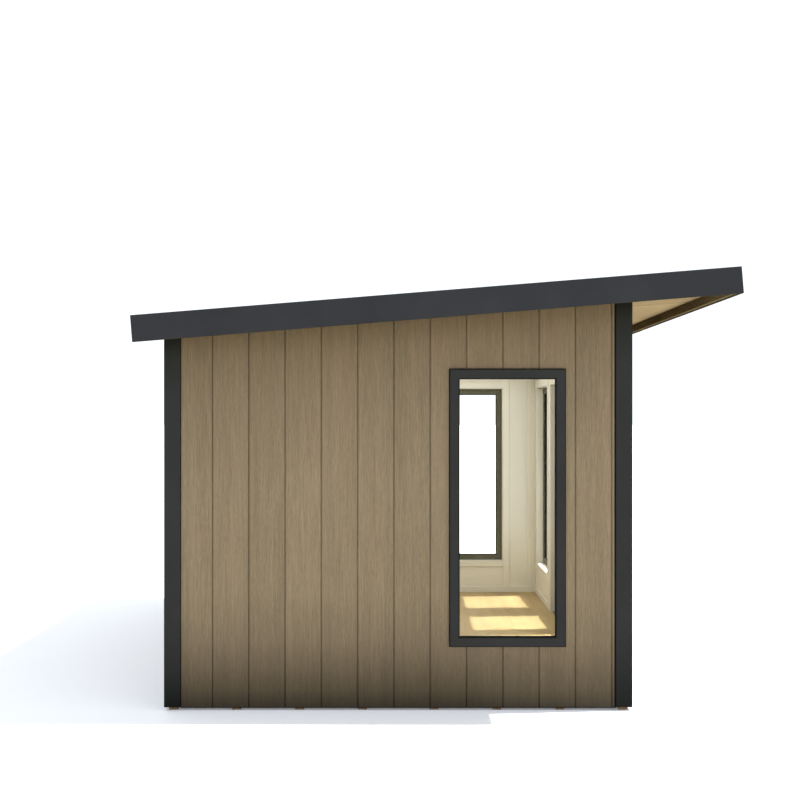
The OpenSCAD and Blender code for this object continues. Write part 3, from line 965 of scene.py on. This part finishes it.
def battens():
    """Skirtings and cover battens on the lining."""
    s = Shape()
    llo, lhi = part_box("left_lining")
    x0, x1 = lhi.x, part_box("right_lining")[0].x
    y0, y1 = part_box("front_lining")[1].y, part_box("rear_lining")[0].y
    z0, t = llo.z, BATTEN_T

    def top(y):
        """Just under the ceiling, whose height follows the roof."""
        return llo.z + (lhi.z - llo.z) - (y - llo.y) * FALL - 0.004

    def on_wall(kind, a, b, z_lo, z_hi):
        """Batten on a wall, from a to b along it."""
        if kind == "left":
            s.bar((x0, a, z_lo), (x0 + t, b, z_hi))
        elif kind == "right":
            s.bar((x1 - t, a, z_lo), (x1, b, z_hi))
        elif kind == "front":
            s.bar((a, y0, z_lo), (b, y0 + t, z_hi))
        else:
            s.bar((a, y1 - t, z_lo), (b, y1, z_hi))

    sk = z0 + SKIRTING_H
    e = BATTEN_FIT
    for side in ("left", "right"):
        wlo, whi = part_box(side + "_window_frame")
        on_wall(side, y0 + t + e, y1 - t - e, z0 + e, sk)
        for a, b in ((y0 + t + e, y0 + t + CORNER_BATTEN_W), (wlo.y - BATTEN_W, wlo.y),
                     (whi.y, whi.y + BATTEN_W), (y1 - t - CORNER_BATTEN_W, y1 - t - e)):
            on_wall(side, a, b, sk + e, top(b))
        on_wall(side, wlo.y + e, whi.y - e, wlo.z - SILL_BATTEN_W, wlo.z)
        on_wall(side, wlo.y + e, whi.y - e, whi.z, whi.z + BATTEN_W)
    dlo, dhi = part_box("door_frame")
    for a, b in ((x0, dlo.x - BATTEN_W - e), (dhi.x + BATTEN_W + e, x1)):
        on_wall("front", a, b, z0 + e, sk)
    for a, b in ((x0, x0 + CORNER_BATTEN_W), (x1 - CORNER_BATTEN_W, x1)):
        on_wall("front", a, b, sk + e, top(y0 + t))
        on_wall("rear", a, b, sk + e, top(y1))
    for side in ("front_left", "front_right"):
        wlo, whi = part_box(side + "_window_frame")
        for a, b in ((wlo.x - BATTEN_W, wlo.x), (whi.x, whi.x + BATTEN_W)):
            on_wall("front", a, b, sk + e, top(y0 + t))
        on_wall("front", wlo.x + e, whi.x - e, wlo.z - SILL_BATTEN_W, wlo.z)
        on_wall("front", wlo.x + e, whi.x - e, whi.z, whi.z + BATTEN_W)
    for a, b in ((dlo.x - BATTEN_W, dlo.x), (dhi.x, dhi.x + BATTEN_W)):
        on_wall("front", a, b, z0 + e, top(y0 + t))
    on_wall("front", dlo.x + e, dhi.x - e, dhi.z, dhi.z + BATTEN_W)
    on_wall("rear", x0, x1, z0 + e, sk)
    third = (x1 - x0) / 3
    for i in (1, 2):
        on_wall("rear", x0 + i * third - BATTEN_W / 2, x0 + i * third + BATTEN_W / 2, sk + e, top(y1))
    s.piece("battens", M["cream"], LINING)


battens()


# ---------------------------------------------------------------- floor, light and camera
floor_mat, _, _ = material("studio_floor", Base_Color=grey(0.85), Roughness=0.9, Specular_IOR_Level=0.1,
                           Emission_Color=(0.76, 0.84, 1.0, 1.0), Emission_Strength=0.16)
mesh = bpy.data.meshes.new("studio_floor")
h = STUDIO_HALF
mesh.from_pydata([(-h, -h, 0), (h, -h, 0), (h, h, 0), (-h, h, 0)], [], [(0, 1, 2, 3)])
mesh.materials.append(floor_mat)
place_in_scene("studio_floor", mesh)

world = bpy.data.worlds.new("studio")
world.use_nodes = True
background = world.node_tree.nodes["Background"]
background.inputs["Color"].default_value = (0.91, 0.95, 1.0, 1.0)
background.inputs["Strength"].default_value = SKY_POWER
bpy.context.scene.world = world

sun = bpy.data.lights.new("sun", "SUN")
sun.energy, sun.angle, sun.color = SUN_POWER, math.radians(SUN_DEGREES), (0.95, 0.975, 1.0)
lamp = place_in_scene("sun", sun)
lamp.rotation_mode = "QUATERNION"
lamp.rotation_quaternion = SUN_TRAVEL.normalized().to_track_quat("-Z", "Y")

# soft light in the room, hidden from the camera and from reflections
room_lo, room_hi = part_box("ceiling")
glow = bpy.data.lights.new("room_light", "AREA")
glow.shape = "RECTANGLE"
glow.size = room_hi.x - room_lo.x - 2 * ROOM_LIGHT_IN
glow.size_y = room_hi.y - room_lo.y - 2 * ROOM_LIGHT_IN
glow.energy, glow.color = ROOM_POWER, (1.0, 0.985, 0.94)
room_lamp = place_in_scene("room_light", glow)
room_lamp.location = ((room_lo.x + room_hi.x) / 2, (room_lo.y + room_hi.y) / 2, room_lo.z - ROOM_LIGHT_DOWN)
room_lamp.visible_camera = False
room_lamp.visible_transmission = False
room_lamp.visible_glossy = False

# the camera stands square to the left side wall, as in the photo
face_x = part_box("front_left_corner_trim")[0].x
wall_mid_y = (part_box("front_left_corner_trim")[0].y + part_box("rear_left_corner_trim")[1].y) / 2
cam_data = bpy.data.cameras.new("camera")
cam_data.lens, cam_data.sensor_width, cam_data.shift_y = LENS, SENSOR, SHIFT_Y
camera = place_in_scene("camera", cam_data)
camera.location = (face_x - CAMERA_BACK, wall_mid_y + CAMERA_ASIDE, CAMERA_UP)
camera.rotation_euler = (math.radians(90), 0, math.radians(-90))
bpy.context.scene.camera = camera
bpy.context.scene.view_settings.view_transform = "Standard"
